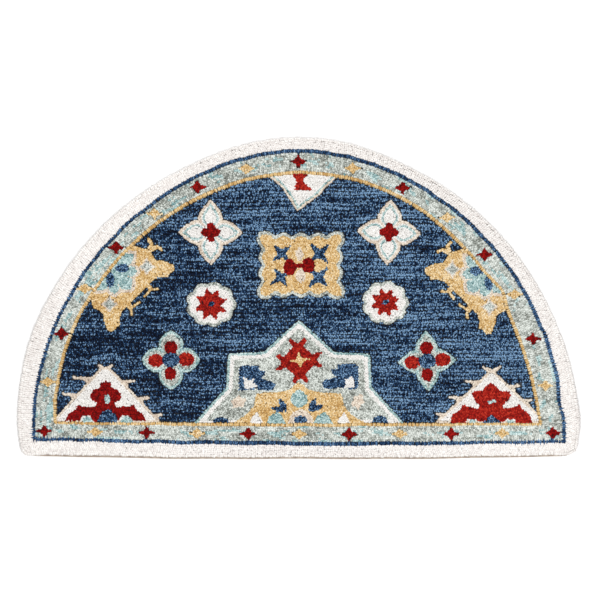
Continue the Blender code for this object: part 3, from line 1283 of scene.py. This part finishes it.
pile = []
for seed, (yarn, material) in enumerate(yarns.items()):
    mine = book["yarn"] == yarn
    parts = math.ceil(mine.sum() / MOST_TUFTS)
    cuts = np.quantile(book["x"][mine], np.linspace(0, 1, parts + 1))
    bay = np.digitize(book["x"], cuts[1:-1])
    for part in range(parts):
        pile.append(pile_piece(f"pile_{yarn}_{part + 1}", mine & (bay == part), material,
                               10 * seed + part + 1, FULLNESS.get(yarn, USUAL_FULLNESS)))
print("pile pieces", len(pile), "faces", sum(len(piece.data.polygons) for piece in pile))

# %% [markdown]
# ## The ground cloth
#
# Under the pile lies a doubled cotton cloth: the one the tufts are shot through, and a backing
# glued over their loops.  The maker turns its edge under and glues it down as a hem, which shows
# on the underside as a slightly proud band.  The cloth is one closed sheet, made of loops that
# step inward from the rug's own outline.

# %% Ground cloth mesh
HEM_WIDTH = 0.80  # as a share of the way from the rug's edge to the navy line
HEM_PROUD = 0.7
FOLD_BULGE = 0.8
ARCH_POINTS, EDGE_POINTS = 221, 121
CLOTH_LOOPS = (
    (1.00, CLOTH_THICK), (0.35, CLOTH_THICK), (0.13, CLOTH_THICK), (0.10, CLOTH_THICK * 0.85),
    (0.09, CLOTH_THICK * 0.5), (0.10, CLOTH_THICK * 0.15), (0.13, 0.0), (HEM_WIDTH, 0.0),
    (HEM_WIDTH + 0.03, HEM_PROUD), (1.00, HEM_PROUD))


def cloth_ring(share, height):
    """A loop of the cloth, a share of the way inward, with the fold bulging at the flat edge."""
    loop = between(rug_loop, navy_loop, share)
    arch, edge = even_run(loop["arch"], ARCH_POINTS), even_run(loop["edge"], EDGE_POINTS)
    if share < HEM_WIDTH / 2:
        edge[:, 1] -= FOLD_BULGE * eased(len(edge))
    flat = np.concatenate([arch[:-1], edge[:-1]])
    return np.column_stack([flat, np.full(len(flat), height)]) * MM


def ground_cloth_mesh():
    """The cloth as one closed mesh, from the middle of its top round to its underside."""
    sheet = bmesh.new()
    rows = [[sheet.verts.new(place) for place in cloth_ring(*loop)] for loop in CLOTH_LOOPS]
    around = len(rows[0])
    for upper, lower in zip(rows, rows[1:]):
        for i in range(around):
            j = (i + 1) % around
            sheet.faces.new((upper[i], lower[i], lower[j], upper[j]))
    sheet.faces.new(rows[0])
    sheet.faces.new(reversed(rows[-1]))
    bmesh.ops.triangulate(sheet, faces=sheet.faces[-2:])
    bmesh.ops.recalc_face_normals(sheet, faces=sheet.faces)
    mesh = bpy.data.meshes.new("ground_cloth")
    sheet.to_mesh(mesh)
    sheet.free()
    return mesh


cloth = set_out("ground_cloth", ground_cloth_mesh())
lay_flat_map(cloth.data)
print("ground cloth faces", len(cloth.data.polygons))

# %% [markdown]
# ## Cotton
#
# The cloth is plain-woven, so two crossing waves make its threads and a soft noise makes them
# uneven.  Three cottons share that weave: the pale backing under the rug, a near-black ground on
# the cloth's top that is painted shade for the shadow deep between the tufts, and the fold at
# the rug's edge, coloured a darker brown as painted shade along the flat edge.

# %% Cotton material
THREAD = 0.0014
WAVE_FOR_ONE = 0.314  # a wave of this scale repeats once in a metre


def cotton(name, ecru, shade):
    """A plain-woven cotton: two crossing sets of threads."""
    material, shader, add, calc = new_material(name)
    place = add("ShaderNodeTexCoord", out="Object")
    threads = [add("ShaderNodeTexWave",
                   {"Vector": place, "Scale": WAVE_FOR_ONE / THREAD, "Distortion": 0.6,
                    "Detail": 1.0}, "Fac", bands_direction=direction) for direction in ("X", "Y")]
    weave = calc("MAXIMUM", *threads)
    slub = add("ShaderNodeTexNoise", {"Vector": place, "Scale": 90, "Detail": 3})
    colour = shades(add, calc("MULTIPLY", weave, slub), (0.1, shade), (0.6, ecru))
    rough = add("ShaderNodeMapRange", {"Value": slub, "To Min": 0.8, "To Max": 1.0})
    bump = add("ShaderNodeBump", {"Height": weave, "Strength": 0.6, "Distance": 0.0004})
    wire(shader, {"Base Color": colour, "Roughness": rough, "Normal": bump,
                  "Specular IOR Level": 0.2})
    return material


FOLD_WIDE = 12.0
BACKING_TOP = 0.9
BACKING, GROUND_PAINTED_SHADE, FOLD = range(3)
# Painted shade: the ground's near-black stands for the shadow deep between the tufts.
for made in (cotton("Cotton backing", (0.78, 0.72, 0.60), (0.42, 0.37, 0.28)),
             cotton("Cotton ground painted shade", (0.11, 0.12, 0.14), (0.05, 0.055, 0.07)),
             cotton("Fold painted shade", (0.56, 0.47, 0.39), (0.20, 0.155, 0.12))):
    cloth.data.materials.append(made)
centres = np.array([face.center for face in cloth.data.polygons]) / MM
# Painted shade: cloth faces near the rug's edge get the fold's darker brown, standing for the shade along
# the flat edge.
in_shaded_fold = shape_distance(centres[:, :2], whole(rug_loop)) > -FOLD_WIDE
for face, height, folded in zip(cloth.data.polygons, centres[:, 2], in_shaded_fold):
    face.material_index = BACKING if height < BACKING_TOP else FOLD if folded else GROUND_PAINTED_SHADE
print("cottons", [made.name for made in cloth.data.materials])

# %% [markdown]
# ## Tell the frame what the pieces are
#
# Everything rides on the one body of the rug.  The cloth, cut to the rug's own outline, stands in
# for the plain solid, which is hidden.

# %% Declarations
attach(cloth, "root")
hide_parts("rug")
for piece in pile:
    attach(piece, "root")

# %% [markdown]
# ## Floor, light and camera
#
# The rug lies on a plain pale floor in an even, bright room.  A broad lamp hangs over it on the
# side of the flat edge, and a smaller one stands low beyond the arch, so the tufts show their
# rows.  The camera looks straight down through a long lens, because a rug is best seen flat.

# %% Floor
FLOOR_REACH, FLOOR_DOWN = 9, -0.0002
plain_floor, shader, _, _ = new_material("Pale floor")
wire(shader, {"Base Color": (0.95, 0.95, 0.95, 1), "Roughness": 0.9, "Specular IOR Level": 0.0})
ground = bpy.data.meshes.new("floor")
ground.from_pydata([(FLOOR_REACH * x, FLOOR_REACH * y, FLOOR_DOWN)
                    for x, y in ((-1, -1), (1, -1), (1, 1), (-1, 1))], [], [(0, 1, 2, 3)])
ground.materials.append(plain_floor)
floor = set_out("floor", ground)
print("floor", tuple(floor.dimensions))

# %% Light and camera
CAMERA_HEIGHT, VIEW_WIDTH = 6.0, 1.135


def soft_light(name, place, size, power):
    """A large soft lamp that faces the rug."""
    lamp = bpy.data.lights.new(name, "AREA")
    lamp.shape = "SQUARE"
    lamp.size = size
    lamp.energy = power
    lit = set_out(name, lamp)
    lit.location = place
    lit.rotation_euler = (-Vector(place)).to_track_quat("-Z", "Y").to_euler()


soft_light("lamp_arch_side", (-0.6, 3.0, 1.8), 1.2, 76)
soft_light("lamp_overhead", (0.3, -1.5, 2.8), 2.6, 94)
world = bpy.data.worlds.new("Soft room")
world.use_nodes = True
wire(world.node_tree.nodes["Background"], {"Color": (1, 1, 1, 1), "Strength": 0.44})
bpy.context.scene.world = world
bpy.context.scene.view_settings.view_transform = "Standard"

lens = bpy.data.cameras.new("camera")
lens.sensor_width = 36
lens.lens = lens.sensor_width * CAMERA_HEIGHT / VIEW_WIDTH
camera = set_out("camera", lens)
camera.location = (0.0019, -0.0019, CAMERA_HEIGHT)
bpy.context.scene.camera = camera
